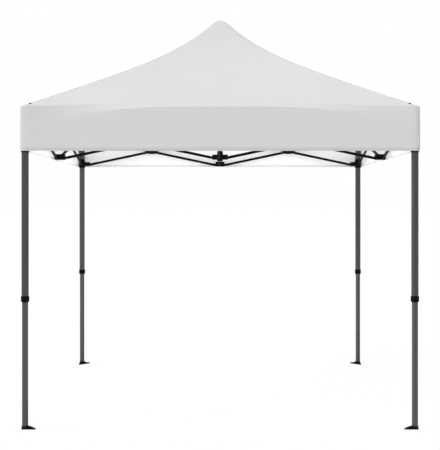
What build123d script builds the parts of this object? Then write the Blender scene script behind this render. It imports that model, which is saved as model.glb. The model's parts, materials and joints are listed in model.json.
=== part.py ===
"""Pop up canopy: a folding frame of scissor trusses on four telescopic legs, with a fabric top.

Millimetres. X runs along the front side, Y points away from the front, Z is up.
The origin is on the ground at the middle of the four legs.
"""

from build123d import *
import os
from math import exp, hypot, sqrt

os.makedirs("parts", exist_ok=True)

# Overall layout
LEG_SPACING = 2920.0  # between leg axes, on all four sides
LEG_AT = LEG_SPACING / 2
TOP_PIVOT_Z = 2384.0
LOW_PIVOT_Z = 2104.0

# Distances from a connector's centre to its pivots, the same at the top and low connectors
LEG_EAR = 74.0
MID_EAR_SIDE = 60.0
HUB_EAR = 62.0
MID_EAR_IN = LEG_EAR + MID_EAR_SIDE - HUB_EAR

# Truss bars: rectangular tube with rounded ends, side by side in two planes
BAR_HEIGHT = 24.0
BAR_WIDTH = 12.0
BAR_WALL = 1.2
BAR_OFFSET = 7.5
SPACER_THICKNESS = 2.4
SPACER_SIZE = (84.0, 50.0)
SPACER_ROUNDING = 12.0

# Clevis ears and their pins
EAR_END = 9.0  # beyond the pivot
EAR_ROUNDING = 6.0
EAR_WIDTH = 24.0
EAR_SLOT = 14.0
SLOT_BACK = 14.0
PIN_RADIUS = 3.0
PIN_HOLE_RADIUS = 3.1
PIN_GAP = 0.1
HEAD_RADIUS = 5.5
HEAD_THICKNESS = 2.2

# Legs: hexagonal tubes, sizes across the flats
OUTER_FLATS = 47.0
INNER_FLATS = 40.0
LEG_WALL = 1.5
OUTER_LEG_Z = (962.0, 2393.0)
INNER_LEG_Z = (10.1, 1300.0)
LEG_FIT = 0.8
GUIDE_FIT = 0.8

# Plastic parts on the legs
SLIDER_FLATS = 54.0
BRACKET_HALF_WIDTH = 29.5
SLIDER_Z = (2072.0, 2161.0)
SLIDER_EAR_Z = (2092.0, 2133.0)
BRACKET_Z = (2342.0, 2401.0)
BRACKET_CAP = 6.0
COLLAR_FLATS = 55.5
COLLAR_Z = (950.5, 995.5)
COLLAR_TAPER = 5.0

# Spring pull-pins
SLIDER_PIN_Z = 2146.0
COLLAR_PIN_Z = 979.0
LOCK_PIN_RADIUS = 4.0
LOCK_HOLE_RADIUS = 4.6
LOCK_PIN_GAP = 0.4
KNOB_RADIUS = 8.5
KNOB_LENGTH = 9.0
HEIGHT_STEP = 80.0
HEIGHT_HOLES = 4

# Feet: a clipped right triangle with its square corner outward
FOOT_CORNER = 24.0
FOOT_SIDE = 106.0
FOOT_CLIP = 10.0
FOOT_THICKNESS = 10.0
SOCKET_FLATS = 46.5
SOCKET_TOP = 24.0
STAKE_RADIUS = 5.0
STAKE_ALONG = -52.0
STAKE_ACROSS = 8.0

# Connectors in the middle of each side, and the two hubs
TOP_BODY_Z = (2368.0, 2401.0)
LOW_BODY_Z = (2087.0, 2135.0)
LOW_EAR_Z = (2092.0, 2116.0)
TOP_BODY = (56.0, 42.0)
LOW_BODY = (92.0, 86.0)
LOW_BODY_INWARD = 15.0  # from the side's plane to the middle of the low connector's body
CONNECTOR_ROUNDING = 8.0
HUB_RADIUS = 36.0
HUB_SIDES = 8
LOWER_HUB_Z = (2088.0, 2133.0)
SOCKET_RADIUS = 26.0
SOCKET_Z = (2074.0, 2163.0)

# Centre pole: an inner pole that telescopes in a tube on the lower hub
GUIDE_TUBE_RADIUS = 16.0
GUIDE_TUBE_Z = (2084.0, 2620.0)
POLE_RADIUS = 13.8
POLE_Z = (2165.0, 3330.0)
POLE_WALL = 1.5
HUB_BORE = 17.5
CAP_RADIUS = 52.0
CAP_DOME_RADIUS = 60.0
CAP_SKIRT = 7.0
CAP_TOP_Z = 3338.0

# Fabric top: square in plan, valance below the eave and a peaked roof above it
TOP_HALF = 1500.0
FABRIC = 1.0
ROOF_DEPTH = 1.5
VALANCE_BOTTOM_Z = 2081.0
EAVE_Z = 2412.0
ROOF_SLOPE = 0.4924
PEAK_RISE = 273.0
PEAK_SPREAD = 279.0
PEAK_ROUNDING = 56.0
CORNER_RADIUS = 15.0
ROOF_BANDS = 22

UP = Vector(0, 0, 1)
SIDES = {
    "front": Vector(0, -1, 0),
    "right": Vector(1, 0, 0),
    "back": Vector(0, 1, 0),
    "left": Vector(-1, 0, 0),
}
CORNERS = {
    "front_left": Vector(-1, -1, 0),
    "front_right": Vector(1, -1, 0),
    "back_right": Vector(1, 1, 0),
    "back_left": Vector(-1, 1, 0),
}


def hexagon_radius(flats):
    """Corner radius of a hexagon from its size across the flats."""
    return flats / sqrt(3)


def at_height(point, z):
    """The same place in plan, at height z."""
    return Vector(point.X, point.Y, z)


def prism(place, z_range, sketch_maker, mode=Mode.ADD):
    """Extrude what sketch_maker draws from one height to another, above a place in plan."""
    with BuildSketch(Plane(at_height(place, z_range[0]))) as outline:
        sketch_maker()
    extrude(outline.sketch, amount=z_range[1] - z_range[0], mode=mode)


def rod(start, direction, length, radius, mode=Mode.ADD):
    """A round rod, or with Mode.SUBTRACT a round hole."""
    with BuildSketch(Plane(start, z_dir=direction)) as section:
        Circle(radius)
    extrude(section.sketch, amount=length, mode=mode)


def pin_with_heads(centre, along, grip):
    """A pivot pin through a stack grip thick, with a flat head at each end."""
    half = grip / 2 + PIN_GAP
    rod(centre - along * half, along, 2 * half, PIN_RADIUS)
    rod(centre + along * half, along, HEAD_THICKNESS, HEAD_RADIUS)
    rod(centre - along * half, -along, HEAD_THICKNESS, HEAD_RADIUS)


def ear_arm(place, out, reach, z_range, offset):
    """A solid arm that ends a little past the pivot; out points from the connector to it."""
    across = UP.cross(out)
    length = reach + EAR_END
    middle_z = (z_range[0] + z_range[1]) / 2
    centre = at_height(place, middle_z) + out * length / 2 + across * offset
    with BuildSketch(Plane(centre, x_dir=out, z_dir=across)) as outline:
        RectangleRounded(length, z_range[1] - z_range[0], EAR_ROUNDING)
    extrude(outline.sketch, amount=EAR_WIDTH / 2, both=True)


def ear_slot(place, out, reach, z, offset):
    """Cut the slot for the bar end, open above and below, and the pivot hole."""
    across = UP.cross(out)
    pivot = at_height(place, z) + out * reach + across * offset
    slot_length = SLOT_BACK + EAR_END + 1
    with BuildSketch(Plane(pivot, x_dir=out, z_dir=across)) as outline:
        with Locations((slot_length / 2 - SLOT_BACK, 0)):
            Rectangle(slot_length, 4 * BAR_HEIGHT)
    extrude(outline.sketch, amount=EAR_SLOT / 2, both=True, mode=Mode.SUBTRACT)
    rod(pivot - across * EAR_WIDTH, across, 2 * EAR_WIDTH, PIN_RADIUS + 0.05, Mode.SUBTRACT)


def ear_pins(place, ears, z):
    """The pivot pins of all the ears of one connector."""
    for out, reach, offset in ears:
        across = UP.cross(out)
        pin_with_heads(at_height(place, z) + out * reach + across * offset, across, EAR_WIDTH)


def save(part, name):
    """Label a finished piece and write it out."""
    part.label = name
    export_step(part, f"parts/{name}.step")


def side_place(out):
    """Middle of a side, in plan."""
    return out * LEG_AT


def corner_place(corner):
    """Leg axis, in plan."""
    return corner * LEG_AT


def make_bar(start, end, across, carries_pivot):
    """A truss bar from pivot to pivot; across is normal to the truss.

    The bar that carries the pivot also holds the middle pin and a level spacer plate, which
    lie on its side that faces the other bar, towards minus across.
    """
    length = hypot((end - start).X, (end - start).Y, (end - start).Z)
    along = (end - start).normalized()
    middle = (start + end) * 0.5
    with BuildPart() as bar:
        with BuildSketch(Plane(middle, x_dir=along, z_dir=across)) as outline:
            SlotCenterToCenter(length, BAR_HEIGHT)
        extrude(outline.sketch, amount=BAR_WIDTH / 2, both=True)
        with BuildSketch(Plane(middle, x_dir=across, z_dir=along)) as hollow:
            Rectangle(BAR_WIDTH - 2 * BAR_WALL, BAR_HEIGHT - 2 * BAR_WALL)
        extrude(hollow.sketch, amount=length, both=True, mode=Mode.SUBTRACT)
        for pivot in (start, middle, end):
            rod(pivot - across * BAR_WIDTH, across, 2 * BAR_WIDTH, PIN_HOLE_RADIUS, Mode.SUBTRACT)
        if carries_pivot:
            between = middle - across * BAR_OFFSET
            with BuildSketch(Plane(between, x_dir=UP.cross(across), z_dir=across)) as plate:
                RectangleRounded(*SPACER_SIZE, SPACER_ROUNDING)
                Circle(PIN_HOLE_RADIUS, mode=Mode.SUBTRACT)
            extrude(plate.sketch, amount=SPACER_THICKNESS / 2, both=True)
            pin_with_heads(between, across, 2 * (BAR_OFFSET + BAR_WIDTH / 2))
    return bar.part


def make_side_bars(side, out):
    """The four bars in the truss along one side: two halves of one scissor each."""
    turn = UP.cross(out)
    for corner, place in CORNERS.items():
        if place.dot(out) < 0.5:
            continue
        hand = corner.replace(side, "").strip("_")
        toward = turn * (1 if place.dot(turn) > 0 else -1)
        middle = side_place(out)
        outer_plane = middle + out * BAR_OFFSET
        inner_plane = middle - out * BAR_OFFSET
        near = toward * MID_EAR_SIDE
        far = toward * (LEG_AT - LEG_EAR)
        top_bar = make_bar(
            at_height(outer_plane + near, LOW_PIVOT_Z),
            at_height(outer_plane + far, TOP_PIVOT_Z),
            out,
            True,
        )
        slider_bar = make_bar(
            at_height(inner_plane + near, TOP_PIVOT_Z),
            at_height(inner_plane + far, LOW_PIVOT_Z),
            out,
            False,
        )
        save(top_bar, f"{side}_top_bar_{hand}")
        save(slider_bar, f"{side}_slider_bar_{hand}")


def make_centre_bars(side, out):
    """The two bars between the hubs and one side's middle: down from the top hub, and up."""
    across = UP.cross(out)
    near = out * HUB_EAR
    far = out * (LEG_AT - MID_EAR_IN)
    falling = make_bar(
        at_height(near, TOP_PIVOT_Z) + across * BAR_OFFSET,
        at_height(far, LOW_PIVOT_Z) + across * BAR_OFFSET,
        across,
        True,
    )
    rising = make_bar(
        at_height(near, LOW_PIVOT_Z) - across * BAR_OFFSET,
        at_height(far, TOP_PIVOT_Z) - across * BAR_OFFSET,
        across,
        False,
    )
    save(falling, f"centre_falling_bar_{side}")
    save(rising, f"centre_rising_bar_{side}")


def make_mid_connector(name, out, body_size, inward, z_range, ear_z, pivot_z, bar_side):
    """The three-eared connector in the middle of one side, its body moved inward.

    bar_side is 1 where its bars lie in the outer planes and -1 where they lie in the inner ones.
    """
    place = side_place(out)
    turn = UP.cross(out)
    ears = [
        (turn, MID_EAR_SIDE, bar_side * BAR_OFFSET * out.dot(UP.cross(turn))),
        (-turn, MID_EAR_SIDE, bar_side * BAR_OFFSET * out.dot(UP.cross(-turn))),
        (-out, MID_EAR_IN, bar_side * BAR_OFFSET * turn.dot(UP.cross(-out))),
    ]
    base = at_height(place - out * inward, z_range[0])
    with BuildPart() as connector:
        with BuildSketch(Plane(base, x_dir=turn, z_dir=UP)) as body:
            RectangleRounded(*body_size, CONNECTOR_ROUNDING)
        extrude(body.sketch, amount=z_range[1] - z_range[0])
        for direction, reach, offset in ears:
            ear_arm(place, direction, reach, ear_z, offset)
        for direction, reach, offset in ears:
            ear_slot(place, direction, reach, pivot_z, offset)
        ear_pins(place, ears, pivot_z)
    save(connector.part, name)


def make_upper_hub():
    """The fixed hub under the peak; the centre pole passes through its bore."""
    place = Vector(0, 0, 0)
    ears = [(out, HUB_EAR, BAR_OFFSET) for out in SIDES.values()]
    with BuildPart() as hub:
        prism(place, TOP_BODY_Z, lambda: RegularPolygon(HUB_RADIUS, HUB_SIDES, rotation=180 / HUB_SIDES))
        for out, reach, offset in ears:
            ear_arm(place, out, reach, TOP_BODY_Z, offset)
        for out, reach, offset in ears:
            ear_slot(place, out, reach, TOP_PIVOT_Z, offset)
        rod(at_height(place, TOP_BODY_Z[0] - 1), UP, 40, HUB_BORE, Mode.SUBTRACT)
        ear_pins(place, ears, TOP_PIVOT_Z)
    save(hub.part, "upper_hub")


def make_lower_hub():
    """The hub that drops as the frame folds, with its socket and the pole's guide tube."""
    place = Vector(0, 0, 0)
    ears = [(out, HUB_EAR, -BAR_OFFSET) for out in SIDES.values()]
    with BuildPart() as hub:
        prism(place, LOWER_HUB_Z, lambda: RegularPolygon(HUB_RADIUS, HUB_SIDES, rotation=180 / HUB_SIDES))
        prism(place, SOCKET_Z, lambda: Circle(SOCKET_RADIUS))
        chamfer(hub.edges().group_by(Axis.Z)[0], 2.5)
        for out, reach, offset in ears:
            ear_arm(place, out, reach, LOWER_HUB_Z, offset)
        for out, reach, offset in ears:
            ear_slot(place, out, reach, LOW_PIVOT_Z, offset)
        bore_length = SOCKET_Z[1] - GUIDE_TUBE_Z[0] + 1
        rod(at_height(place, GUIDE_TUBE_Z[0] - 0.1), UP, bore_length, GUIDE_TUBE_RADIUS + 0.1, Mode.SUBTRACT)
        ear_pins(place, ears, LOW_PIVOT_Z)
        prism(place, GUIDE_TUBE_Z, guide_tube_section)
    save(hub.part, "lower_hub")


def guide_tube_section():
    """Ring section of the pole's guide tube."""
    Circle(GUIDE_TUBE_RADIUS)
    Circle(GUIDE_TUBE_RADIUS - POLE_WALL, mode=Mode.SUBTRACT)


def pole_section():
    """Ring section of the centre pole."""
    Circle(POLE_RADIUS)
    Circle(POLE_RADIUS - POLE_WALL, mode=Mode.SUBTRACT)


def make_centre_pole():
    """The pole that holds up the peak, with the domed cap that the fabric rests on."""
    rim_drop = CAP_DOME_RADIUS - sqrt(CAP_DOME_RADIUS**2 - CAP_RADIUS**2)
    rim_z = CAP_TOP_Z - rim_drop
    skirt_z = rim_z - CAP_SKIRT
    mid_radius = CAP_RADIUS / 2
    mid_z = CAP_TOP_Z - CAP_DOME_RADIUS + sqrt(CAP_DOME_RADIUS**2 - mid_radius**2)
    with BuildPart() as pole:
        with BuildSketch(Plane.XZ) as profile:
            with BuildLine():
                ThreePointArc((0, CAP_TOP_Z), (mid_radius, mid_z), (CAP_RADIUS, rim_z))
                Polyline((CAP_RADIUS, rim_z), (CAP_RADIUS, skirt_z), (0, skirt_z), (0, CAP_TOP_Z))
            make_face()
        revolve(profile.sketch, axis=Axis.Z)
        socket_depth = POLE_Z[1] - skirt_z + 0.1
        rod(Vector(0, 0, skirt_z), UP, socket_depth, POLE_RADIUS + 0.1, Mode.SUBTRACT)
        prism(Vector(0, 0, 0), POLE_Z, pole_section)
    save(pole.part, "centre_pole")


def hexagon_ring(outer, inner):
    """A hexagonal ring section with flats facing front and back."""
    RegularPolygon(hexagon_radius(outer), 6)
    RegularPolygon(hexagon_radius(inner), 6, mode=Mode.SUBTRACT)


def clipped_hexagon(flats, half_width):
    """A hexagon with its two pointed corners cut off square."""
    RegularPolygon(hexagon_radius(flats), 6)
    Rectangle(2 * half_width, 2 * flats, mode=Mode.INTERSECT)


def inward_face(corner):
    """The direction in which a leg's pull-pins face: across the canopy, front to back."""
    return Vector(0, -1 if corner.Y > 0 else 1, 0)


def make_outer_leg(name, corner):
    """The upper leg tube, with a hole for each pull-pin."""
    place = corner_place(corner)
    facing = inward_face(corner)
    with BuildPart() as leg:
        prism(place, OUTER_LEG_Z, lambda: hexagon_ring(OUTER_FLATS, OUTER_FLATS - 2 * LEG_WALL))
        for z in (SLIDER_PIN_Z, COLLAR_PIN_Z):
            rod(at_height(place, z), facing, OUTER_FLATS, LOCK_HOLE_RADIUS, Mode.SUBTRACT)
    save(leg.part, f"outer_leg_{name}")


def foot_outline(corner):
    """Right triangle with clipped tips; its square corner points outward."""
    near = FOOT_CORNER
    far = FOOT_CORNER - FOOT_SIDE
    points = [
        (near, near),
        (far + FOOT_CLIP, near),
        (far, near - FOOT_CLIP),
        (near - FOOT_CLIP, far),
        (near, far + FOOT_CLIP),
    ]
    Polygon(*[(x * corner.X, y * corner.Y) for x, y in points], align=None)


def stake_spots(corner):
    """The two stake holes of one foot, in plan from the leg axis."""
    spots = [(STAKE_ALONG, STAKE_ACROSS), (STAKE_ACROSS, STAKE_ALONG)]
    return [Vector(x * corner.X, y * corner.Y, 0) for x, y in spots]


def make_inner_leg(name, corner):
    """The lower leg tube with its height holes, and the foot it stands in."""
    place = corner_place(corner)
    facing = inward_face(corner)
    with BuildPart() as leg:
        prism(place, INNER_LEG_Z, lambda: hexagon_ring(INNER_FLATS, INNER_FLATS - 2 * LEG_WALL))
        for step in range(HEIGHT_HOLES):
            height = COLLAR_PIN_Z - step * HEIGHT_STEP
            rod(at_height(place, height), facing, INNER_FLATS, LOCK_HOLE_RADIUS, Mode.SUBTRACT)
        prism(place, (0, FOOT_THICKNESS), lambda: foot_outline(corner))
        prism(place, (FOOT_THICKNESS, SOCKET_TOP), lambda: hexagon_ring(SOCKET_FLATS, INNER_FLATS + 0.2))
        for spot in stake_spots(corner):
            rod(place + spot, UP, FOOT_THICKNESS, STAKE_RADIUS, Mode.SUBTRACT)
    save(leg.part, f"inner_leg_{name}")


def leg_ears(corner, offset):
    """The two ears of a leg bracket or slider, each towards the middle of its side."""
    ears = []
    for out in SIDES.values():
        if corner.dot(out) < 0.5:
            continue
        toward = -(corner - out)
        ears.append((toward, LEG_EAR, offset * out.dot(UP.cross(toward))))
    return ears


def make_leg_brackets(name, corner):
    """The cap bracket on top of the outer leg, and the collar on its lower end."""
    place = corner_place(corner)
    facing = inward_face(corner)
    ears = leg_ears(corner, BAR_OFFSET)
    bore = hexagon_radius(OUTER_FLATS + LEG_FIT)
    guide = hexagon_radius(INNER_FLATS + GUIDE_FIT)
    with BuildPart() as bracket:
        prism(place, BRACKET_Z, lambda: clipped_hexagon(SLIDER_FLATS, BRACKET_HALF_WIDTH))
        chamfer(bracket.edges().group_by(Axis.Z)[-1], 2)
        for out, reach, offset in ears:
            ear_arm(place, out, reach, TOP_BODY_Z, offset)
        for out, reach, offset in ears:
            ear_slot(place, out, reach, TOP_PIVOT_Z, offset)
        prism(
            place,
            (BRACKET_Z[0] - 1, BRACKET_Z[1] - BRACKET_CAP),
            lambda: RegularPolygon(bore, 6),
            Mode.SUBTRACT,
        )
        ear_pins(place, ears, TOP_PIVOT_Z)
    with BuildPart() as collar:
        prism(place, COLLAR_Z, lambda: RegularPolygon(hexagon_radius(COLLAR_FLATS), 6))
        chamfer(collar.edges().group_by(Axis.Z)[0], COLLAR_TAPER * 2, COLLAR_TAPER / 2)
        chamfer(collar.edges().group_by(Axis.Z)[-1], COLLAR_TAPER / 2)
        prism(
            place,
            (COLLAR_Z[0] - 1, COLLAR_Z[1] + 1),
            lambda: RegularPolygon(guide, 6),
            Mode.SUBTRACT,
        )
        prism(
            place,
            (OUTER_LEG_Z[0] - 0.2, COLLAR_Z[1] + 1),
            lambda: RegularPolygon(bore, 6),
            Mode.SUBTRACT,
        )
        rod(at_height(place, COLLAR_PIN_Z), facing, COLLAR_FLATS, LOCK_HOLE_RADIUS, Mode.SUBTRACT)
    save(Compound(children=[bracket.part, collar.part]), f"leg_brackets_{name}")


def make_slider(name, corner):
    """The sleeve that slides up the outer leg to open the frame."""
    place = corner_place(corner)
    facing = inward_face(corner)
    ears = leg_ears(corner, -BAR_OFFSET)
    bore = hexagon_radius(OUTER_FLATS + LEG_FIT)
    with BuildPart() as slider:
        prism(place, SLIDER_Z, lambda: RegularPolygon(hexagon_radius(SLIDER_FLATS), 6))
        for out, reach, offset in ears:
            ear_arm(place, out, reach, SLIDER_EAR_Z, offset)
        for out, reach, offset in ears:
            ear_slot(place, out, reach, LOW_PIVOT_Z, offset)
        prism(
            place,
            (SLIDER_Z[0] - 1, SLIDER_Z[1] + 1),
            lambda: RegularPolygon(bore, 6),
            Mode.SUBTRACT,
        )
        rod(at_height(place, SLIDER_PIN_Z), facing, SLIDER_FLATS, LOCK_HOLE_RADIUS, Mode.SUBTRACT)
        ear_pins(place, ears, LOW_PIVOT_Z)
    save(slider.part, f"slider_{name}")


def make_pull_pin(label, corner, z, tube_flats, body_flats):
    """A spring pull-pin: a knob outside the plastic and a pin towards the tube inside it."""
    place = at_height(corner_place(corner), z)
    facing = inward_face(corner)
    tip = place + facing * (tube_flats / 2 + LOCK_PIN_GAP)
    knob = place + facing * (body_flats / 2 + LOCK_PIN_GAP)
    with BuildPart() as button:
        rod(tip, facing, (knob - tip).length, LOCK_PIN_RADIUS)
        rod(knob, facing, KNOB_LENGTH, KNOB_RADIUS)
        chamfer(button.edges().group_by(Axis(tuple(place), tuple(facing)))[-1], 2)
    save(button.part, label)


def roof_height(u):
    """Height of the roof's outer surface at a distance u from the centre line, along X or Y."""
    v = hypot(u, PEAK_ROUNDING)
    edge = hypot(TOP_HALF, PEAK_ROUNDING)
    return EAVE_Z + ROOF_SLOPE * (edge - v) + PEAK_RISE * (exp(-v / PEAK_SPREAD) - exp(-edge / PEAK_SPREAD))


def shell_of_squares(half, drop, bottom_z, mode):
    """A solid through level squares that follow the roof, lowered by drop, and the valance."""
    sizes = [half * (1 - band / ROOF_BANDS) for band in range(ROOF_BANDS)]
    sizes += [half * share / ROOF_BANDS for share in (0.6, 0.25)]
    levels = [(bottom_z, half)] + [(roof_height(size) - drop, size) for size in sizes]
    sections = []
    for z, size in levels:
        radius = min(CORNER_RADIUS, size * 0.4)
        with BuildSketch(Plane.XY.offset(z)) as level:
            RectangleRounded(2 * size, 2 * size, radius)
        sections.append(level.sketch)
    loft(sections, ruled=True, mode=mode)


def make_canopy():
    """The fabric top as one thin closed shell, open below."""
    with BuildPart() as canopy:
        shell_of_squares(TOP_HALF, 0, VALANCE_BOTTOM_Z, Mode.ADD)
        shell_of_squares(TOP_HALF - FABRIC, ROOF_DEPTH, VALANCE_BOTTOM_Z - 1, Mode.SUBTRACT)
    save(canopy.part, "canopy")


make_upper_hub()
make_lower_hub()
make_centre_pole()
make_canopy()
for side_name, outward in SIDES.items():
    make_centre_bars(side_name, outward)
    make_side_bars(side_name, outward)
    make_mid_connector(
        f"top_connector_{side_name}", outward, TOP_BODY, 0, TOP_BODY_Z, TOP_BODY_Z, TOP_PIVOT_Z, -1
    )
    make_mid_connector(
        f"low_connector_{side_name}",
        outward,
        LOW_BODY,
        LOW_BODY_INWARD,
        LOW_BODY_Z,
        LOW_EAR_Z,
        LOW_PIVOT_Z,
        1,
    )
for corner_name, corner_direction in CORNERS.items():
    make_outer_leg(corner_name, corner_direction)
    make_inner_leg(corner_name, corner_direction)
    make_leg_brackets(corner_name, corner_direction)
    make_slider(corner_name, corner_direction)
    make_pull_pin(
        f"slider_button_{corner_name}", corner_direction, SLIDER_PIN_Z, OUTER_FLATS, SLIDER_FLATS
    )
    make_pull_pin(
        f"leg_button_{corner_name}", corner_direction, COLLAR_PIN_Z, INNER_FLATS, COLLAR_FLATS
    )
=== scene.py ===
"""Pop up canopy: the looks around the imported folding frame.

Metres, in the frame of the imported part: X right along the front side, Y away from the front, Z up.
"""
import json
import random
from math import asin, cos, exp, hypot, pi, radians, sin, tau

import bmesh
import bpy
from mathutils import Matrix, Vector

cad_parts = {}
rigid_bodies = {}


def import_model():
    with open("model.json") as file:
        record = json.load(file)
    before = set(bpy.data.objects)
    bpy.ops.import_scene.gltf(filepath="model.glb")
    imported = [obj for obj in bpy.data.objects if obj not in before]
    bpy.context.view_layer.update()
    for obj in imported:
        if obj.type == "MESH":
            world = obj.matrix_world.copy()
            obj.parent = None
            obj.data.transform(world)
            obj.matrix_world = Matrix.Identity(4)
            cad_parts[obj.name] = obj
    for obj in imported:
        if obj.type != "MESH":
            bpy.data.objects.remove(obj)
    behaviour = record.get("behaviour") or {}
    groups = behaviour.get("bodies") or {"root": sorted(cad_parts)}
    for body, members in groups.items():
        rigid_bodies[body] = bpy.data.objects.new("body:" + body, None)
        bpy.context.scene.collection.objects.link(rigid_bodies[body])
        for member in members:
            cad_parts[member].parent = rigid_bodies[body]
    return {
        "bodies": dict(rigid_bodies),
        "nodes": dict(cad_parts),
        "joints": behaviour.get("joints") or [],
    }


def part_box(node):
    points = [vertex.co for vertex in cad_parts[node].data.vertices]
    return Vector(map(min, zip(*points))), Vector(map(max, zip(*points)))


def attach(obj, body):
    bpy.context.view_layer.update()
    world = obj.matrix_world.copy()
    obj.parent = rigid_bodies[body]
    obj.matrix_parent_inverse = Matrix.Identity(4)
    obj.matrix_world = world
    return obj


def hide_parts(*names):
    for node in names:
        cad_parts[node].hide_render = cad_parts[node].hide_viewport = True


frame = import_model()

random.seed(7)           # for the uneven pleats of the folded cloth
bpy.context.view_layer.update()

# ---------------------------------------------------------------- places taken from the frame
CANOPY_LOW, CANOPY_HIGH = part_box("canopy")
HALF = CANOPY_HIGH.x                   # outer half width of the fabric top
HEM_Z = CANOPY_LOW.z
LEG_LOW, LEG_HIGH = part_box("outer_leg_front_right")
LEG_AT = (LEG_LOW.x + LEG_HIGH.x) / 2  # leg axis, from the middle

SIDES = {
    "front": Vector((0, -1, 0)),
    "right": Vector((1, 0, 0)),
    "back": Vector((0, 1, 0)),
    "left": Vector((-1, 0, 0)),
}
CORNERS = {
    "front_left": Vector((-1, -1, 0)),
    "front_right": Vector((1, -1, 0)),
    "back_right": Vector((1, 1, 0)),
    "back_left": Vector((-1, 1, 0)),
}
UP = Vector((0, 0, 1))
FOOT_TOP = 0.025                       # height of the foot's socket on the lower leg


# ---------------------------------------------------------------- camera and light
CAMERA_DISTANCE = 8.52    # in front of the object's centre
CAMERA_HEIGHT = 1.672
CAMERA_LENS = 75.4
CAMERA_SHIFT = -0.043
WHITE = (1, 1, 1, 1)
WORLD_HORIZON = 0.0       # the sky's light at the horizon, and straight up
WORLD_ZENITH = 1.22
WORLD_BACK = 0.15         # extra light from the bright backdrop behind the object
KEY_STRENGTH = 1.80
KEY_SPREAD = radians(35)
KEY_FROM = Vector((-0.85, -0.33, 0.43))
FILL_POWER = 34.0         # soft panel on the ground under the top, which lights its inside
FILL_SIZE = 2.0
FILL_Z = 0.02
FLOOR_HALF = 400.0
FLOOR_Z = -0.0006
FLOOR_TONE = 0.10
FLOOR_GLOW = 0.90         # the pale floor's own light, which keeps it as white as the backdrop


def make_camera():
    """Level camera on the centre line, at eye height, shifted down a little."""
    data = bpy.data.cameras.new("camera")
    data.sensor_width = 36
    data.lens = CAMERA_LENS
    data.shift_y = CAMERA_SHIFT
    camera = bpy.data.objects.new("camera", data)
    camera.location = (0, -CAMERA_DISTANCE, CAMERA_HEIGHT)
    camera.rotation_euler = (radians(90), 0, 0)
    bpy.context.scene.collection.objects.link(camera)
    bpy.context.scene.camera = camera


def make_light():
    """A white studio: soft sky, a broad key from the left, and a low fill under the top."""
    bpy.context.scene.view_settings.view_transform = "Standard"
    make_sky()

    key = bpy.data.lights.new("key", "SUN")
    key.angle = KEY_SPREAD
    key.energy = KEY_STRENGTH
    lamp = bpy.data.objects.new("key", key)
    lamp.location = KEY_FROM * CAMERA_DISTANCE
    lamp.rotation_euler = (-KEY_FROM).to_track_quat("-Z", "Y").to_euler()
    bpy.context.scene.collection.objects.link(lamp)

    fill = bpy.data.lights.new("fill", "AREA")
    fill.size = FILL_SIZE
    fill.energy = FILL_POWER
    panel = bpy.data.objects.new("fill", fill)
    panel.location.z = FILL_Z
    panel.rotation_euler = (pi, 0, 0)
    panel.visible_camera = False
    bpy.context.scene.collection.objects.link(panel)


def make_sky():
    """Light that grows towards the top and the back; the camera itself sees plain white."""
    world = bpy.data.worlds.new("studio")
    bpy.context.scene.world = world
    world.use_nodes = True
    tree = world.node_tree
    lighting = tree.nodes["Background"]
    direction = node(tree, "TexCoord").outputs["Generated"]
    axes = node(tree, "SeparateXYZ", {"Vector": direction}).outputs
    above = ramp(tree, axes["Z"], WORLD_HORIZON, WORLD_ZENITH)
    behind = ramp(tree, axes["Y"], 0.0, WORLD_BACK)
    tree.links.new(math(tree, "ADD", above, behind), lighting.inputs["Strength"])
    lighting.inputs["Color"].default_value = WHITE
    seen = node(tree, "Background", {"Color": WHITE})
    path = node(tree, "LightPath")
    mix = node(tree, "MixShader", {"Fac": path.outputs["Is Camera Ray"]})
    tree.links.new(lighting.outputs[0], mix.inputs[1])
    tree.links.new(seen.outputs[0], mix.inputs[2])
    tree.links.new(mix.outputs[0], tree.nodes["World Output"].inputs["Surface"])


def make_floor():
    """A wide pale floor."""
    half = FLOOR_HALF
    corners = [(-half, -half, 0), (half, -half, 0), (half, half, 0), (-half, half, 0)]
    mesh = bpy.data.meshes.new("floor")
    mesh.from_pydata(corners, [], [(0, 1, 2, 3)])
    floor = bpy.data.objects.new("floor", mesh)
    floor.location.z = FLOOR_Z
    bpy.context.scene.collection.objects.link(floor)
    material, _, shader = new_material("floor")
    shader.inputs["Base Color"].default_value = (FLOOR_TONE, FLOOR_TONE, FLOOR_TONE, 1)
    shader.inputs["Roughness"].default_value = 0.9
    shader.inputs["Specular IOR Level"].default_value = 0.0
    shader.inputs["Emission Color"].default_value = WHITE
    shader.inputs["Emission Strength"].default_value = FLOOR_GLOW
    mesh.materials.append(material)


# ---------------------------------------------------------------- materials
THREAD_PITCH = 0.0011
WEAVE_DEPTH = 0.00006
CREASE_DEPTH = 0.003
SCATTER_DEPTH = 0.002
TWILL_PITCH = 0.0022      # of the black webbing
ORANGE_PEEL = 0.00012     # bump depth of the powder coat
PLASTIC_GRAIN = 0.00015   # bump depth of the moulded nylon


def new_material(name):
    """An empty Principled material: (material, node tree, shader)."""
    material = bpy.data.materials.new(name)
    material.use_nodes = True
    tree = material.node_tree
    return material, tree, tree.nodes["Principled BSDF"]


def node(tree, kind, inputs=None, **settings):
    """Add a node, set its properties and its inputs; an input may be a socket to link from."""
    made = tree.nodes.new("ShaderNode" + kind)
    for key, value in settings.items():
        setattr(made, key, value)
    for key, value in (inputs or {}).items():
        if isinstance(value, bpy.types.NodeSocket):
            tree.links.new(value, made.inputs[key])
        else:
            made.inputs[key].default_value = value
    return made


def math(tree, operation, *values):
    """A math node; returns its output socket."""
    made = tree.nodes.new("ShaderNodeMath")
    made.operation = operation
    for index, value in enumerate(values):
        if isinstance(value, bpy.types.NodeSocket):
            tree.links.new(value, made.inputs[index])
        else:
            made.inputs[index].default_value = value
    return made.outputs[0]


def object_point(tree):
    """The point in the object's own coordinates, which stay with the piece as it moves."""
    return node(tree, "TexCoord").outputs["Object"]


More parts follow.
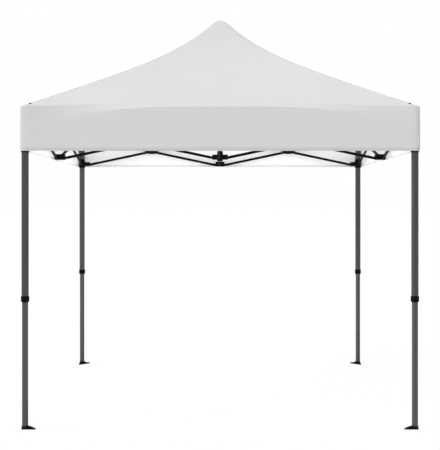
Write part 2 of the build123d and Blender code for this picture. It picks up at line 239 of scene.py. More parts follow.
def noise(tree, point, scale, detail=3.0, roughness=0.55):
    """A noise value from 0 to 1 at a point."""
    inputs = {"Vector": point, "Scale": scale, "Detail": detail, "Roughness": roughness}
    return node(tree, "TexNoise", inputs).outputs["Fac"]


def mix_colours(tree, share, first, second):
    """The first colour at a share of 0 and the second at 1; either may be a socket or a colour."""
    made = node(tree, "Mix", {"Factor": share}, data_type="RGBA")
    sockets = [socket for socket in made.inputs if socket.type == "RGBA"]
    for socket, colour in zip(sockets, (first, second)):
        if isinstance(colour, bpy.types.NodeSocket):
            tree.links.new(colour, socket)
        else:
            socket.default_value = (*colour, 1)
    return next(socket for socket in made.outputs if socket.type == "RGBA")


def ramp(tree, value, low, high, from_min=0.0, from_max=1.0):
    """Map a value from one range to another, clamped; low and high may be numbers or colours."""
    inputs = {"Value": value, "From Min": from_min, "From Max": from_max}
    if isinstance(low, tuple):
        share = node(tree, "MapRange", inputs).outputs[0]
        return mix_colours(tree, share, low, high)
    return node(tree, "MapRange", {**inputs, "To Min": low, "To Max": high}).outputs[0]


def bump(tree, shader, height, distance, strength=1.0):
    """Drive the shader's normal from a height."""
    made = node(tree, "Bump", {"Height": height, "Distance": distance, "Strength": strength})
    tree.links.new(made.outputs["Normal"], shader.inputs["Normal"])


def fabric_material(name, dark, light, translucence):
    """Coated woven polyester: plain weave, faint creases and slight unevenness of the white."""
    material, tree, shader = new_material(name)
    point = object_point(tree)
    axes = node(tree, "SeparateXYZ", {"Vector": point})
    thread = tau / THREAD_PITCH
    along = math(tree, "ADD", axes.outputs["X"], axes.outputs["Y"])
    warp = math(tree, "SINE", math(tree, "MULTIPLY", along, thread))
    weft = math(tree, "SINE", math(tree, "MULTIPLY", axes.outputs["Z"], thread))
    cross = math(tree, "SINE", math(tree, "MULTIPLY", axes.outputs["X"], thread * 0.7))
    weave = math(tree, "MULTIPLY", warp, math(tree, "ADD", weft, cross))
    clouds = noise(tree, point, scale=2.3, detail=4.0)
    mottle = noise(tree, point, scale=26.0)
    tone = math(tree, "ADD", math(tree, "MULTIPLY", clouds, 0.75), math(tree, "MULTIPLY", mottle, 0.25))
    colour = ramp(tree, tone, dark, light, 0.3, 0.7)
    tree.links.new(colour, shader.inputs["Base Color"])
    tree.links.new(ramp(tree, mottle, 0.62, 0.78), shader.inputs["Roughness"])
    shader.inputs["Subsurface Weight"].default_value = translucence
    shader.inputs["Subsurface Radius"].default_value = (1, 1, 1)
    shader.inputs["Subsurface Scale"].default_value = SCATTER_DEPTH
    shader.inputs["Sheen Weight"].default_value = 0.08
    shader.inputs["Sheen Roughness"].default_value = 0.5
    shader.inputs["Specular IOR Level"].default_value = 0.2
    crease = noise(tree, point, scale=7.0, detail=4.0)
    fine = math(tree, "MULTIPLY", weave, WEAVE_DEPTH)
    height = math(tree, "ADD", math(tree, "MULTIPLY", crease, CREASE_DEPTH), fine)
    bump(tree, shader, height, distance=1.0, strength=0.2)
    return material


def powder_coat(name, dark, light, roughness, shine):
    """Satin powder coat: orange-peel bump, slight tone changes and scuffs that catch light."""
    material, tree, shader = new_material(name)
    point = object_point(tree)
    stretched = node(tree, "Mapping", {"Vector": point, "Scale": (1, 1, 0.12)}).outputs[0]
    clouds = noise(tree, stretched, scale=14.0)
    speckle = noise(tree, point, scale=900.0, detail=2.0)
    scuff = noise(tree, stretched, scale=160.0, detail=6.0, roughness=0.7)
    tone = math(tree, "ADD", math(tree, "MULTIPLY", clouds, 0.7), math(tree, "MULTIPLY", speckle, 0.3))
    colour = ramp(tree, tone, dark, light, 0.3, 0.7)
    tree.links.new(colour, shader.inputs["Base Color"])
    worn = ramp(tree, scuff, roughness + 0.06, roughness - 0.08, 0.45, 0.75)
    tree.links.new(worn, shader.inputs["Roughness"])
    shader.inputs["Specular IOR Level"].default_value = shine
    bump(tree, shader, speckle, ORANGE_PEEL, strength=0.5)
    return material


def moulded_plastic(name, dark, light, roughness):
    """Fine spark-eroded grain on moulded nylon, with slightly shinier high spots."""
    material, tree, shader = new_material(name)
    point = object_point(tree)
    grain = noise(tree, point, scale=1400.0, detail=2.0)
    clouds = noise(tree, point, scale=40.0, detail=4.0)
    colour = ramp(tree, clouds, dark, light, 0.3, 0.7)
    tree.links.new(colour, shader.inputs["Base Color"])
    shine = ramp(tree, clouds, roughness - 0.07, roughness + 0.07, 0.3, 0.7)
    tree.links.new(shine, shader.inputs["Roughness"])
    shader.inputs["Specular IOR Level"].default_value = 0.05
    bump(tree, shader, grain, PLASTIC_GRAIN, strength=0.6)
    return material


def leg_with_foot(name, tube_dark, tube_light, foot_colour):
    """The lower leg: grey powder coat on the tube, black nylon from the foot's socket down."""
    material = powder_coat(name, tube_dark, tube_light, 0.5, 0.12)
    tree = material.node_tree
    shader = tree.nodes["Principled BSDF"]
    height = node(tree, "SeparateXYZ", {"Vector": object_point(tree)}).outputs["Z"]
    is_foot = math(tree, "LESS_THAN", height, FOOT_TOP)
    tube_colour = shader.inputs["Base Color"].links[0].from_socket
    colour = mix_colours(tree, is_foot, tube_colour, foot_colour)
    tree.links.new(colour, shader.inputs["Base Color"])
    return material


def black_oxide():
    """Black oxide on the screws: a dark metal with a faint uneven haze."""
    material, tree, shader = new_material("black_oxide_steel")
    haze = noise(tree, object_point(tree), scale=300.0)
    colour = ramp(tree, haze, (0.010, 0.010, 0.011), (0.028, 0.028, 0.030), 0.3, 0.7)
    tree.links.new(colour, shader.inputs["Base Color"])
    tree.links.new(ramp(tree, haze, 0.28, 0.42, 0.3, 0.7), shader.inputs["Roughness"])
    shader.inputs["Metallic"].default_value = 1.0
    return material


def webbing():
    """Black woven polyester webbing and patches: a coarse twill."""
    material, tree, shader = new_material("black_webbing")
    point = object_point(tree)
    axes = node(tree, "SeparateXYZ", {"Vector": point})
    level = math(tree, "ADD", axes.outputs["X"], axes.outputs["Y"])
    diagonal = math(tree, "ADD", level, axes.outputs["Z"])
    twill = math(tree, "SINE", math(tree, "MULTIPLY", diagonal, tau / TWILL_PITCH))
    fuzz = noise(tree, point, scale=700.0, detail=2.0)
    tone = math(tree, "ADD", math(tree, "MULTIPLY", twill, 0.25), fuzz)
    colour = ramp(tree, tone, (0.006, 0.006, 0.007), (0.018, 0.018, 0.019), 0.2, 0.9)
    tree.links.new(colour, shader.inputs["Base Color"])
    tree.links.new(ramp(tree, fuzz, 0.7, 0.9), shader.inputs["Roughness"])
    shader.inputs["Specular IOR Level"].default_value = 0.2
    bump(tree, shader, tone, distance=0.0003, strength=0.6)
    return material


# ---------------------------------------------------------------- the fabric top
EAVE_Z = 2.4120
ROOF_SLOPE = 0.4924
PEAK_RISE = 0.273         # how much the roof steepens towards the peak, how far out, and how blunt
PEAK_SPREAD = 0.279
PEAK_ROUNDING = 0.056
PANEL_SAG = 0.010
CORNER_RADIUS = 0.038
STRIP_WIDTH = 0.125       # how far up the roof the soft strip over the eave reaches, mid side
STRIP_LEAST = 0.002       # and at the corners
CREASE_DROP = 0.165       # how far the lower crease has dropped where it dies out at the corner
CREASE_CURVE = 3.2
CRISP = 0.006             # reach of a crease's bend where it is sharp
SOFT_UPPER = 0.045        # more reach of the upper crease mid side
SOFT_LOWER = 0.05         # more reach of the lower crease near the corners
VALANCE_LEAN = 0.005      # how far the valance hangs inward at its foot, mid side
HEM_LEAN = 0.004
HEM_DEPTH = 0.022
HEM_RINGS = 4             # the last rings of the profile, from the hem's upper edge to its lower one
SIDE_COLUMNS = 96
ARC_COLUMNS = 4
ROOF_RINGS = 44
RING_CROWDING = 1.25      # rings lie closer together near the peak
BEND_RINGS = 7
VALANCE_RINGS = 12
CLOTH_THICKNESS = 0.0008
HEM_LIFT = 0.0009
SEAM_LIFT = 0.0007
STITCH_LENGTH = 0.0052
STITCH_PITCH = 0.0085
STITCH_RADIUS = 0.0006
STITCH_SIDES = 5
STITCH_SUNK = 0.4         # share of a stitch's radius that is sunk in the cloth
CLOTH_EDGE = HALF - HEM_LIFT - STITCH_RADIUS


def roof_height(u):
    """Height of the taut roof at a distance u from the centre line, along X or Y."""
    v = hypot(u, PEAK_ROUNDING)
    edge = hypot(HALF, PEAK_ROUNDING)
    peak = PEAK_RISE * (exp(-v / PEAK_SPREAD) - exp(-edge / PEAK_SPREAD))
    return EAVE_Z + ROOF_SLOPE * (edge - v) + peak


def smooth(x, low, high):
    """0 below low, 1 above high, and a smooth step between."""
    t = min(max((x - low) / (high - low), 0.0), 1.0)
    return t * t * (3 - 2 * t)


def bend(before, corner, after, reach_in, reach_out, count):
    """Points of a rounded corner in a profile, as a quadratic curve."""
    start = corner + (before - corner).normalized() * reach_in
    end = corner + (after - corner).normalized() * reach_out
    points = []
    for index in range(count):
        t = index / (count - 1)
        points.append(start * (1 - t) ** 2 + corner * 2 * t * (1 - t) + end * t * t)
    return points


def cloth_profile(s):
    """Section of the cloth from peak to hem, as (u, z); s is 0 mid side and 1 at the corner."""
    edge = CLOTH_EDGE
    width = max(STRIP_WIDTH * (1 - s), STRIP_LEAST)
    drop = CREASE_DROP * s**CREASE_CURVE
    upper = Vector((edge - width, roof_height(edge - width)))
    lower = Vector((edge, EAVE_Z - drop))
    foot = Vector((edge - VALANCE_LEAN * (1 - s), HEM_Z + HEM_DEPTH))
    hem = Vector((foot.x - HEM_LEAN, HEM_Z))
    limit = 0.45 * (upper - lower).length
    reach_upper = min(CRISP + SOFT_UPPER * (1 - smooth(s, 0.35, 0.7)), limit)
    reach_lower = min(CRISP + SOFT_LOWER * smooth(s, 0.5, 0.85), limit)
    start = upper.x - reach_upper
    points = []
    for ring in range(ROOF_RINGS):
        t = (ring / (ROOF_RINGS - 1)) ** RING_CROWDING
        u = start * t
        sag = PANEL_SAG * (1 - s * s) * sin(pi * min(u / edge, 1)) ** 2
        points.append(Vector((u, roof_height(u) - sag)))
    on_roof = Vector((start, roof_height(start)))
    points += bend(on_roof, upper, lower, reach_upper, reach_upper, BEND_RINGS)[1:]
    points += bend(upper, lower, foot, reach_lower, reach_lower, BEND_RINGS)
    below = points[-1]
    for ring in range(1, VALANCE_RINGS + 1):
        points.append(below.lerp(foot, ring / VALANCE_RINGS))
    for share in (0.35, 0.7, 1.0):
        points.append(foot.lerp(hem, share))
    return points


def column_places():
    """Columns round the square: (side direction, along -1 to 1, corner angle) in order."""
    columns = []
    for out in SIDES.values():
        for index in range(ARC_COLUMNS, 0, -1):
            columns.append((out, -1.0, -45.0 * index / ARC_COLUMNS))
        for index in range(SIDE_COLUMNS + 1):
            along = -1 + 2 * index / SIDE_COLUMNS
            columns.append((out, along, 0.0))
        for index in range(1, ARC_COLUMNS):
            columns.append((out, 1.0, 45.0 * index / ARC_COLUMNS))
    return columns


def cloth_point(out, along, angle, u, z):
    """Place a profile point of one column, with the square's corners rounded."""
    turn = UP.cross(out)
    radius = min(CORNER_RADIUS, 0.4 * u)
    straight = u - radius
    bulge = radians(angle)
    place = out * (straight + radius * cos(bulge)) + turn * (straight * along + radius * sin(bulge))
    return Vector((place.x, place.y, z))


def cloth_grid():
    """The cloth's points as grid[column][ring], and the outward normal at each of them."""
    profiles = {}
    grid = []
    for out, along, angle in column_places():
        key = round(abs(along), 6)
        if key not in profiles:
            profiles[key] = cloth_profile(abs(along))
        grid.append([cloth_point(out, along, angle, p.x, p.y) for p in profiles[key]])
    normals = []
    count = len(grid)
    for index, column in enumerate(grid):
        before, after = grid[index - 1], grid[(index + 1) % count]
        row = []
        for ring, point in enumerate(column):
            down = column[min(ring + 1, len(column) - 1)] - column[max(ring - 1, 0)]
            across = after[ring] - before[ring]
            normal = down.cross(across)
            row.append(normal.normalized() if normal.length > 1e-12 else UP.copy())
        normals.append(row)
    return grid, normals


def mesh_piece(name, points, faces, materials, smooth_shading=True):
    """A new mesh object in the scene."""
    mesh = bpy.data.meshes.new(name)
    mesh.from_pydata(points, [], faces)
    for face in mesh.polygons:
        face.use_smooth = smooth_shading
    for material in materials:
        mesh.materials.append(material)
    piece = bpy.data.objects.new(name, mesh)
    bpy.context.scene.collection.objects.link(piece)
    return piece


def thicken(piece, thickness, offset, inside_slot=0):
    """Give a sheet its thickness; offset -1 grows it inward and 1 outward."""
    solid = piece.modifiers.new("thickness", "SOLIDIFY")
    solid.thickness = thickness
    solid.offset = offset
    solid.use_even_offset = False
    solid.material_offset = inside_slot


def make_cloth(grid, outside, inside):
    """The fabric top as one continuous sheet, from the peak over the eave to the hem."""
    count = len(grid)
    rings = len(grid[0])
    points = [grid[0][0]]
    for column in grid:
        points += column[1:]
    per_column = rings - 1

    def number(column, ring):
        return 1 + (column % count) * per_column + ring - 1

    faces = []
    for index in range(count):
        faces.append((0, number(index, 1), number(index + 1, 1)))
        for ring in range(1, rings - 1):
            near = (number(index, ring), number(index, ring + 1))
            far = (number(index + 1, ring + 1), number(index + 1, ring))
            faces.append(near + far)
    return mesh_piece("canopy_cloth", points, faces, [outside, inside])


def strip_piece(name, grid, normals, columns, rings, lift, materials):
    """A band of cloth laid over part of the grid, raised by lift along the normals."""
    points = []
    for column in columns:
        points += [grid[column][ring] + normals[column][ring] * lift for ring in rings]
    width = len(rings)
    closed = len(columns) == len(grid)
    last = len(columns) if closed else len(columns) - 1
    faces = []
    for index in range(last):
        following = (index + 1) % len(columns)
        for ring in range(width - 1):
            a, b = index * width + ring, following * width + ring
            faces.append((a, a + 1, b + 1, b))
    return mesh_piece(name, points, faces, materials)


def walk(points, normals, pitch):
    """Evenly spaced (point, direction, normal) along a line of points."""
    places = []
    left = pitch / 2
    for start, end, normal in zip(points, points[1:], normals):
        span = end - start
        length = span.length
        while left < length:
            places.append((start + span * (left / length), span / length, normal))
            left += pitch
        left -= length
    return places


def stitch_mesh(places):
    """Small rounded stitches at the given places: points and faces."""
    points, faces = [], []
    length, radius, sides = STITCH_LENGTH, STITCH_RADIUS, STITCH_SIDES
    for centre, along, normal in places:
        across = along.cross(normal)
        base = len(points)
        middle = centre + normal * (radius * (1 - STITCH_SUNK))
        points.append(middle - along * (length / 2) - normal * radius)
        for share in (-0.3, 0.3):
            for side in range(sides):
                turn = tau * side / sides
                ring = across * cos(turn) + normal * sin(turn)
                points.append(middle + along * (length * share) + ring * radius)
        points.append(middle + along * (length / 2) - normal * radius)
        tip = base + 1 + 2 * sides
        for side in range(sides):
            following = (side + 1) % sides
            first, second = base + 1 + side, base + 1 + following
            faces.append((base, second, first))
            faces.append((first, second, second + sides, first + sides))
            faces.append((tip, first + sides, second + sides))
    return points, faces


def make_stitches(name, lines, material):
    """All the stitch rows of one kind as one piece; lines are (points, normals)."""
    places = []
    for points, normals in lines:
        places += walk(points, normals, STITCH_PITCH)
    points, faces = stitch_mesh(places)
    return mesh_piece(name, points, faces, [material])


# ---------------------------------------------------------------- how the cloth folds with the frame
def joint_named(name):
    """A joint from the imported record."""
    return next(joint for joint in frame["joints"] if joint["name"] == name)


def joint_place(name):
    """Where a joint is."""
    return Vector(joint_named(name)["pos_m"])


def fold_travel():
    """How far a leg moves in, and the pole and lower hub move down, when the frame folds."""
    high = joint_place("frame_fold")
    low = joint_place("low_connector_pivot_front")
    reach, drop = abs(high.y - low.y), high.z - low.z
    length = hypot(reach, drop)
    folded = radians(joint_named("frame_fold")["range_deg"][1]) + asin(drop / length)
    travel_in = reach - length * cos(folded)
    hub_drop = length * sin(folded) - drop
    return travel_in, hub_drop - joint_named("centre_pole_slide")["range_m"][1], hub_drop


TRAVEL_IN, POLE_DROP, HUB_DROP = fold_travel()
FOLDED_EDGE = HALF - TRAVEL_IN   # where the eave is when the frame is folded
PLEATS = 9                       # folds along each side of the gathered cloth
PLEAT_DEPTH = 0.055
PLEAT_START = (0.02, 0.40)       # below the lowered peak, where the pleats begin and are full
SKIRT_OUT = 0.075                # how far the gathered roof hangs outside the folded eave
SKIRT_IN = 0.030                 # and how far its way back up does
ROOF_STEPS = 60                  # straight steps in which the roof's length is measured
SECTION_STEPS = 200
LEAST_SHARE = 1e-5


def folded_path():
    """The folded roof's section, from the peak out, down outside the valance and back up to the eave."""
    peak = roof_height(0) - POLE_DROP
    outer, inner = FOLDED_EDGE + SKIRT_OUT, FOLDED_EDGE + SKIRT_IN
    heights = [roof_height(HALF * step / ROOF_STEPS) for step in range(ROOF_STEPS + 1)]
    roof = sum(hypot(HALF / ROOF_STEPS, a - b) for a, b in zip(heights, heights[1:]))
    low = (peak + EAVE_Z + outer - roof) / 2
    return [
        (0.0, peak),
        (FOLDED_EDGE * 0.9, peak - 0.006),
        (outer - 0.02, peak - 0.03),
        (outer, peak - 0.12),
        (outer + 0.01, low + 0.05),
        ((outer + inner) / 2, low),
        (inner, low + 0.05),
        (inner - 0.012, EAVE_Z - 0.20),
        (FOLDED_EDGE, EAVE_Z),
    ]


def folded_section():
    """A function of u that gives where a point of the roof is when folded: (distance out, z)."""
    path = [Vector(point) for point in folded_path()]
    lengths = [0.0]
    for start, end in zip(path, path[1:]):
        lengths.append(lengths[-1] + (end - start).length)
    arcs = [0.0]
    steps = SECTION_STEPS
    for step in range(steps):
        a, b = HALF * step / steps, HALF * (step + 1) / steps
        arcs.append(arcs[-1] + hypot(b - a, roof_height(b) - roof_height(a)))

    def section(u):
        place = min(max(u / HALF, 0.0), 1.0) * steps
        low = min(int(place), steps - 1)
        arc = arcs[low] + (arcs[low + 1] - arcs[low]) * (place - low)
        target = arc / arcs[-1] * lengths[-1]
        for index in range(len(path) - 1):
            if target <= lengths[index + 1] or index == len(path) - 2:
                share = (target - lengths[index]) / (lengths[index + 1] - lengths[index])
                return path[index].lerp(path[index + 1], min(share, 1.0))

    return section


PLEAT_SIZES = [random.uniform(0.55, 1.0) for _ in range(4 * PLEATS)]


def pleat(side, along, z):
    """How far the gathered cloth stands out at this place of a side, when folded."""
    place = (along + 1) / 2 * PLEATS
    index = min(int(place), PLEATS - 1)
    wave = 0.5 - 0.5 * cos(tau * place)
    fullness = smooth(roof_height(0) - POLE_DROP - z, *PLEAT_START)
    return PLEAT_DEPTH * PLEAT_SIZES[side * PLEATS + index] * wave * fullness


def fold_with_frame(piece):
    """Hook a piece's points to the bodies that carry the fabric, in shares that gather it."""
    section = folded_section()
    corner_names = {(c.x, c.y): name for name, c in CORNERS.items()}
    side_names = list(SIDES)
    groups = {}
    edge = CLOTH_EDGE
    for vertex in piece.data.vertices:
        x, y, z = vertex.co
        front_or_back = abs(y) >= abs(x)
        u, t = (abs(y), x) if front_or_back else (abs(x), y)
        u_clamped = min(u, edge)
        along = max(min(t / max(u, 1e-6), 1.0), -1.0)
        if front_or_back:
            side = side_names.index("front" if y < 0 else "back")
        else:
            side = side_names.index("right" if x > 0 else "left")
        target = section(u_clamped / edge * HALF)
        if z < EAVE_Z - 0.002 and u > edge - 0.03:
            drop = 0.0
        else:
            drop = max(roof_height(u_clamped) - target.y, 0.0)
        out = target.x + pleat(side, along, z - drop)
        share_out = min(max((u_clamped - out) / TRAVEL_IN, 0.0), 1.0)
        share_along = min(abs(along) * max(u_clamped - target.x, 0.0) / TRAVEL_IN, 1.0)
        in_x, in_y = (share_along, share_out) if front_or_back else (share_out, share_along)
        corner = corner_names[(1 if x >= 0 else -1, 1 if y >= 0 else -1)]
        both = min(in_x, in_y)
        shares = {f"outer_leg_{corner}": both}
        shares["top_connector_right" if x >= 0 else "top_connector_left"] = in_x - both
        shares["top_connector_back" if y >= 0 else "top_connector_front"] = in_y - both
        shares["centre_pole"] = min(drop / POLE_DROP, 1.0)
        shares["lower_hub"] = max(drop - POLE_DROP, 0.0) / HUB_DROP
        for body, share in shares.items():
            if share > LEAST_SHARE:
                groups.setdefault(body, []).append((vertex.index, share))
    for body, shares in groups.items():
        group = piece.vertex_groups.new(name=f"follows_{body}")
        for index, share in shares:
            group.add([index], share, "REPLACE")
        hook = piece.modifiers.new(f"follows_{body}", "HOOK")
        hook.object = frame["bodies"][body]
        hook.vertex_group = group.name


# ---------------------------------------------------------------- trim on the fabric
SEAM_SPREAD = 2           # columns of the grid on each side of a hip
HEM_ROWS = (0.12, 0.80)   # the hem's two stitch rows, as shares of its depth
PATCH_REACH = 0.22        # how far a corner patch reaches in from the edge
PATCH_GAP = 0.0014        # under the cloth's outer face
PATCH_THICKNESS = 0.0012


def corner_columns(index, spread):
    """Numbers of the columns round one corner, spread columns to each side of its middle."""
    per_side = SIDE_COLUMNS + 2 * ARC_COLUMNS
    total = 4 * per_side
    middle = index * per_side
    return [(middle + step) % total for step in range(-spread, spread + 1)]


def make_trim(grid, normals, single, doubled, thread):
    """Hem, hip seams and their stitching: pieces that lie on the cloth and fold with it."""
    rings = len(grid[0])
    every = list(range(len(grid)))
    hem_rings = list(range(rings - HEM_RINGS, rings))
    # The hem is made of the darker doubled cloth, a painted shade line along the valance's foot.
    hem = strip_piece("valance_hem", grid, normals, every, hem_rings, 0.0, [doubled])
    thicken(hem, HEM_LIFT, 1)
    pieces = [hem]
    seam_rings = list(range(2, rings - HEM_RINGS))
    lines = []
    for index in range(4):
        columns = corner_columns(index, SEAM_SPREAD)
        seam = strip_piece(f"hip_seam_{index + 1}", grid, normals, columns, seam_rings, 0.0, [single])
        thicken(seam, SEAM_LIFT, 1)
        pieces.append(seam)
        for column in (columns[1], columns[-2]):
            line = [grid[column][r] + normals[column][r] * SEAM_LIFT for r in seam_rings[4:]]
            lines.append((line, [normals[column][r] for r in seam_rings[4:]]))
    pieces.append(make_stitches("seam_stitching", lines, thread))
    hem_lines = []
    for share in HEM_ROWS:
        line, line_normals = [], []
        for column in every + [0]:
            top, bottom = grid[column][rings - HEM_RINGS], grid[column][-1]
            normal = normals[column][rings - 3]
            line.append(top.lerp(bottom, share) + normal * HEM_LIFT)
            line_normals.append(normal)
        hem_lines.append((line, line_normals))
    pieces.append(make_stitches("hem_stitching", hem_lines, thread))
    return pieces


def make_corner_patches(grid, normals, material):
    """Reinforcement sewn inside each corner of the roof, where it sits on the leg."""
    roof_rings = [ring for ring, point in enumerate(grid[0]) if point.z > EAVE_Z + 0.004]
    reach = [max(abs(point.x), abs(point.y)) for point in grid[0]]
    wanted = [ring for ring in roof_rings if reach[ring] > HALF - PATCH_REACH]
    pieces = []
    for index, name in enumerate(CORNERS):
        columns = corner_columns(index, ARC_COLUMNS + 7)
        label = f"corner_patch_{name}"
        patch = strip_piece(label, grid, normals, columns, wanted, -PATCH_GAP, [material])
        thicken(patch, PATCH_THICKNESS, -1)
        pieces.append(patch)
    return pieces


CAP_FROM_SIDE = 0.076     # from the side edge of the top, and from its front or back edge
CAP_FROM_EAVE = 0.053
CAP_PROFILE = [  # radius and height over the cloth
    (0.0040, 0.0034),
    (0.0072, 0.0026),
    (0.0092, 0.0014),
    (0.0098, 0.0),
    (0.0098, -0.002),
]
CAP_TOP = 0.0036
CAP_LIFT = 0.0006
CAP_TURNS = 24


def make_hip_caps(material):
    """The black snap cap beside each hip, over the strap that holds the corner down."""
    pieces = []
    turns = CAP_TURNS
    for name, corner in CORNERS.items():
        up = Vector((0, corner.y * ROOF_SLOPE, 1)).normalized()
        side = Vector((1, 0, 0))
        other = up.cross(side)
        along, reach = HALF - CAP_FROM_SIDE, HALF - CAP_FROM_EAVE
        centre = Vector((corner.x * along, corner.y * reach, roof_height(reach) + CAP_LIFT))
        points = [centre + up * CAP_TOP]
        for radius, height in CAP_PROFILE:
            for step in range(turns):
                angle = tau * step / turns
                spoke = side * cos(angle) + other * sin(angle)
                points.append(centre + up * height + spoke * radius)
        rows = len(CAP_PROFILE) - 1
        faces = []
        for step in range(turns):
            following = (step + 1) % turns
            faces.append((0, 1 + step, 1 + following))
            for ring in range(rows):
                a = 1 + ring * turns
                faces.append((a + step, a + turns + step, a + turns + following, a + following))
        faces.append(tuple(1 + rows * turns + step for step in reversed(range(turns))))
        pieces.append(mesh_piece(f"hip_cap_{name}", points, faces, [material]))
    return pieces


TAB_WIDTH = 0.038
TAB_THICKNESS = 0.0014
TAB_STEPS = 4             # faces across the tab
CONNECTOR_HALF = 0.021    # half depth of a top connector's body


def make_tabs(material):
    """Webbing tabs sewn inside the eave, mid side, that close under the top connectors."""
    for side, out in SIDES.items():
        turn = UP.cross(out)
        low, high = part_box(f"top_connector_{side}")
        face = CONNECTOR_HALF + TAB_THICKNESS
        under = low.z - TAB_THICKNESS
        path = [
            (0.0330, high.z - 0.005),
            (0.0290, high.z - 0.009),
            (face + 0.0012, high.z - 0.014),
            (face, low.z + 0.010),
            (face, low.z + 0.003),
            (face - 0.0015, low.z),
            (face - 0.005, under),
            (0.004, under),
            (0.001, under - TAB_THICKNESS),
            (-0.022, under - TAB_THICKNESS),
        ]
        points = []
        for reach, z in path:
            for step in range(TAB_STEPS + 1):
                along = step / TAB_STEPS - 0.5
                place = out * (LEG_AT + reach) + turn * (along * TAB_WIDTH)
                points.append((place.x, place.y, z))
        faces = []
        width = TAB_STEPS + 1
        for row in range(len(path) - 1):
            for step in range(TAB_STEPS):
                a = row * width + step
                faces.append((a, a + 1, a + width + 1, a + width))
        tab = mesh_piece(f"tab_{side}", points, faces, [material])
        thicken(tab, TAB_THICKNESS, 0)
        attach(tab, f"top_connector_{side}")


RIB_ACROSS = -0.004       # beside the stake holes, measured outward from the leg's axis
RIB_THICKNESS = 0.005
RIB_EDGE = 0.0008
RIB_PROFILE = [  # reach from the leg's axis and height
    (-0.022, 0.0098),
    (-0.022, 0.0236),
    (-0.028, 0.0230),
    (-0.061, 0.0118),
    (-0.0635, 0.0098),
]


def turn_faces_out(piece):
    """Make every face of closed shapes look outward."""
    mesh = bmesh.new()
    mesh.from_mesh(piece.data)
    bmesh.ops.recalc_face_normals(mesh, faces=mesh.faces)
    mesh.to_mesh(piece.data)
    mesh.free()


def make_foot_ribs(material):
    """Moulded ribs that brace each foot's socket, one along each straight side of the plate."""
    for name, corner in CORNERS.items():
        points, faces = [], []
        axes = (Vector((corner.x, 0, 0)), Vector((0, corner.y, 0)))
        for along, across in (axes, axes[::-1]):
            base = len(points)
            count = len(RIB_PROFILE)
            for shift in (-RIB_THICKNESS / 2, RIB_THICKNESS / 2):
                for reach, z in RIB_PROFILE:
                    place = corner * LEG_AT + along * reach + across * (RIB_ACROSS + shift)
                    points.append((place.x, place.y, z))
            faces.append(tuple(range(base, base + count)))
            faces.append(tuple(reversed(range(base + count, base + 2 * count))))
            for step in range(count):
                a, b = base + step, base + (step + 1) % count
                faces.append((b, a, a + count, b + count))
        ribs = mesh_piece(f"foot_ribs_{name}", points, faces, [material], smooth_shading=False)
        turn_faces_out(ribs)
        edge = ribs.modifiers.new("edge", "BEVEL")
        edge.width = RIB_EDGE
        edge.segments = 2
        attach(ribs, f"inner_leg_{name}")


# ---------------------------------------------------------------- screws at the pivots
HEAD_FLATS = 0.0114
HEAD_HEIGHT = 0.0042
WASHER_RADIUS = 0.0078
WASHER_THICKNESS = 0.0012
WASHER_SIDES = 20
WASHER_EDGE = 0.0003
HEAD_CHAMFER = (0.0009, 0.0006)  # inward, down
SOCKET = ((0.45, 0.0), (0.40, 0.0010))  # share of the head's width and depth, of its mark
EAR_GRIP = 0.0121                # from a pivot's centre to the face its screw stands on
MIDDLE_GRIP = 0.0136


def screw_head(base, out, points, faces):
    """A washer and a chamfered hexagon head standing on base, pointing out."""
    side = out.orthogonal().normalized()
    other = out.cross(side)

    def ring(radius, height, sides):
        start = len(points)
        for step in range(sides):
            angle = tau * step / sides
            spoke = side * cos(angle) + other * sin(angle)
            points.append(base + out * height + spoke * radius)
        return start

    def join(first, second, sides):
        for step in range(sides):
            following = (step + 1) % sides
            faces.append((first + step, first + following, second + following, second + step))

    def build(sizes, sides):
        rings = [ring(radius, height, sides) for radius, height in sizes]
        for first, second in zip(rings, rings[1:]):
            join(first, second, sides)
        faces.append(tuple(rings[-1] + step for step in range(sides)))

    build(
        [
            (WASHER_RADIUS, 0.0),
            (WASHER_RADIUS, WASHER_THICKNESS - WASHER_EDGE),
            (WASHER_RADIUS - WASHER_EDGE, WASHER_THICKNESS),
        ],
        WASHER_SIDES,
    )
    corner = HEAD_FLATS / 3**0.5
    top = WASHER_THICKNESS + HEAD_HEIGHT
    head = [(corner, WASHER_THICKNESS), (corner, top - HEAD_CHAMFER[1])]
    head.append((corner - HEAD_CHAMFER[0], top))
    head += [(corner * share, top - depth) for share, depth in SOCKET]
    build(head, 6)


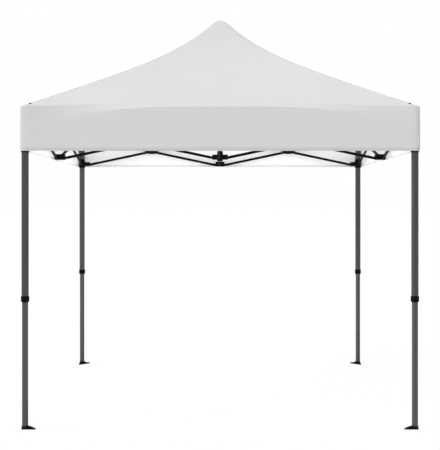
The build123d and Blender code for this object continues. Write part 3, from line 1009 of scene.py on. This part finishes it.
def pivot_screws():
    """Where each body's screws are: {body: [(pivot centre, axis, half the grip)]}."""
    screws = {}

    def add(body, place, z, axis, grip=EAR_GRIP):
        screws.setdefault(body, []).append((Vector((place.x, place.y, z)), axis, grip))

    low_front = joint_place("low_connector_pivot_front")
    high_front = joint_place("frame_fold")
    top_leg = joint_place("leg_top_pivot_front_right")
    top_mid = joint_place("front_slider_bar_pivot_right")
    offset = abs(high_front.x)
    high_z, low_z = high_front.z, low_front.z
    mid_z = (high_z + low_z) / 2
    hub_ear, mid_in = abs(high_front.y), abs(low_front.y)
    mid_side, leg_in = abs(top_mid.x), abs(top_leg.x)
    for side, out in SIDES.items():
        turn = UP.cross(out)
        middle = out * LEG_AT
        add("root", out * hub_ear + turn * offset, high_z, turn)
        add("lower_hub", out * hub_ear - turn * offset, low_z, turn)
        add(f"low_connector_{side}", out * mid_in + turn * offset, low_z, turn)
        add(f"top_connector_{side}", out * mid_in - turn * offset, high_z, turn)
        centre = out * (hub_ear + mid_in) / 2
        add(f"centre_falling_bar_{side}", centre, mid_z, turn, MIDDLE_GRIP)
        for corner, place in CORNERS.items():
            if place.dot(out) < 0.5:
                continue
            hand = corner.replace(side, "").strip("_")
            toward = turn if place.dot(turn) > 0 else -turn
            outer, inner = middle + out * offset, middle - out * offset
            add(f"low_connector_{side}", outer + toward * mid_side, low_z, out)
            add(f"top_connector_{side}", inner + toward * mid_side, high_z, out)
            add(f"outer_leg_{corner}", outer + toward * leg_in, high_z, out)
            add(f"slider_{corner}", inner + toward * leg_in, low_z, out)
            halfway = middle + toward * (mid_side + leg_in) / 2
            add(f"{side}_top_bar_{hand}", halfway, mid_z, out, MIDDLE_GRIP)
    return screws


def make_screws(material):
    """Washers and hexagon heads over the ends of every pivot pin, one piece to a body."""
    for body, places in pivot_screws().items():
        points, faces = [], []
        for centre, axis, grip in places:
            for way in (axis, -axis):
                screw_head(centre + way * grip, way, points, faces)
        piece = mesh_piece(f"screws_{body}", points, faces, [material], smooth_shading=False)
        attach(piece, body)


# ---------------------------------------------------------------- put it together
make_camera()
make_light()
make_floor()

cloth_outside = fabric_material("white_polyester", (0.655, 0.655, 0.658), (0.685, 0.685, 0.688), 0.1)
# The inside face is the same cloth painted far lighter than the outside: painted light for the daylight
# that shines through it from behind.
cloth_inside_painted_light = fabric_material("white_polyester_inside_painted_light", (0.93, 0.93, 0.932), (0.95, 0.95, 0.952), 1.0)
# The doubled hem is the same cloth painted darker: a painted shade line along the foot of the valance.
cloth_doubled_painted_shade = fabric_material("white_polyester_doubled_painted_shade", (0.60, 0.60, 0.603), (0.64, 0.64, 0.643), 0.05)
thread_white = moulded_plastic("white_thread", (0.58, 0.58, 0.58), (0.68, 0.68, 0.68), 0.7)
leg_coat = powder_coat("grey_powder_coat", (0.067, 0.0645, 0.065), (0.080, 0.077, 0.0775), 0.5, 0.12)
lower_leg = leg_with_foot(
    "grey_powder_coat_and_foot", (0.080, 0.077, 0.0775), (0.094, 0.091, 0.0915), (0.004, 0.004, 0.0045)
)
bar_coat = powder_coat("dark_powder_coat", (0.0032, 0.0032, 0.0034), (0.0052, 0.0052, 0.0055), 0.55, 0.06)
plastic = moulded_plastic("black_nylon", (0.0025, 0.0025, 0.0028), (0.0050, 0.0050, 0.0054), 0.55)
screw_steel = black_oxide()
black_webbing = webbing()

cloth_points, cloth_normals = cloth_grid()
cloth = make_cloth(cloth_points, cloth_outside, cloth_inside_painted_light)
trim = make_trim(cloth_points, cloth_normals, cloth_outside, cloth_doubled_painted_shade, thread_white)
trim += make_corner_patches(cloth_points, cloth_normals, black_webbing)
caps = make_hip_caps(plastic)
for piece in [cloth, *trim, *caps]:
    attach(piece, "root")
    fold_with_frame(piece)
thicken(cloth, CLOTH_THICKNESS, -1, inside_slot=1)
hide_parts("canopy")
held_by = [f"leg_brackets_{corner}" for corner in CORNERS]
held_by += [f"top_connector_{side}" for side in SIDES] + ["centre_pole"]
make_tabs(black_webbing)
make_foot_ribs(plastic)
make_screws(screw_steel)

for name, piece in frame["nodes"].items():
    if name == "canopy":
        continue
    if "_bar_" in name:
        finish = bar_coat
    elif name.startswith("inner_leg"):
        finish = lower_leg
    elif name.startswith("outer_leg") or name == "centre_pole":
        finish = leg_coat
    else:
        finish = plastic
    piece.data.materials.clear()
    piece.data.materials.append(finish)
